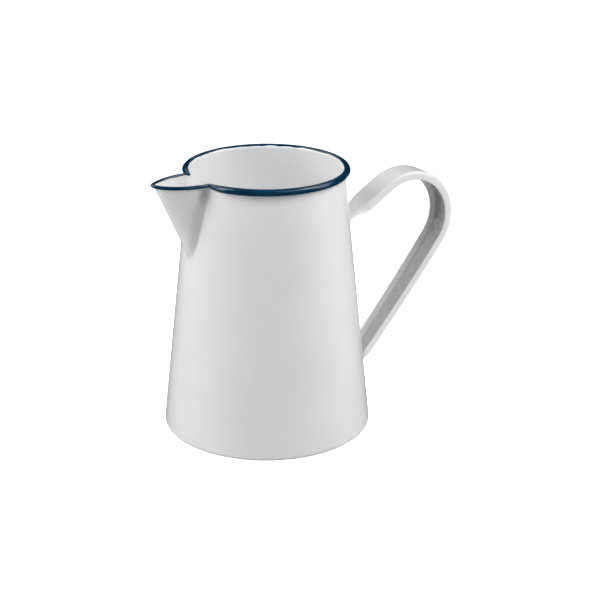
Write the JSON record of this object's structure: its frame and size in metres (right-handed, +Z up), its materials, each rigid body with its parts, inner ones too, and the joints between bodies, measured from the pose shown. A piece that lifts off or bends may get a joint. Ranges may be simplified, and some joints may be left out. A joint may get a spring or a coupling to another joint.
{
  "type": "enamelled milk jug",
  "caption": "Tapering enamelled steel milk jug with a rolled blue rim, a folded pouring spout opposite a channel-section strap handle, and a flat base.",
  "frame": {"origin": "centre of the base's flat underside, on the axis of the body", "axes": "+Z up along the body's axis, spout towards -X, handle towards +X"},
  "size_m": [0.2259, 0.14, 0.1801],
  "materials": {
    "white_enamel": "glossy fired white enamel on steel sheet",
    "blue_enamel": "glossy fired dark blue enamel on steel sheet",
    "bare_steel": "drawn steel wire, hidden inside the rolled rim",
    "weld_steel": "weld metal, under the enamel on the finished jug"
  },
  "bodies": {
    "root": {"body_wall": "white_enamel", "base_pan": "white_enamel", "base_seam_weld": "weld_steel", "side_seam_weld": "weld_steel", "rim_roll": "blue_enamel", "rim_wire": "bare_steel", "spout_shell": "white_enamel", "spout_hem": "blue_enamel", "spout_seam_weld": "weld_steel", "handle_strap": "white_enamel", "handle_upper_spot_weld_left": "weld_steel", "handle_upper_spot_weld_right": "weld_steel", "handle_lower_spot_weld_left": "weld_steel", "handle_lower_spot_weld_right": "weld_steel"}
  },
  "joints": []
}
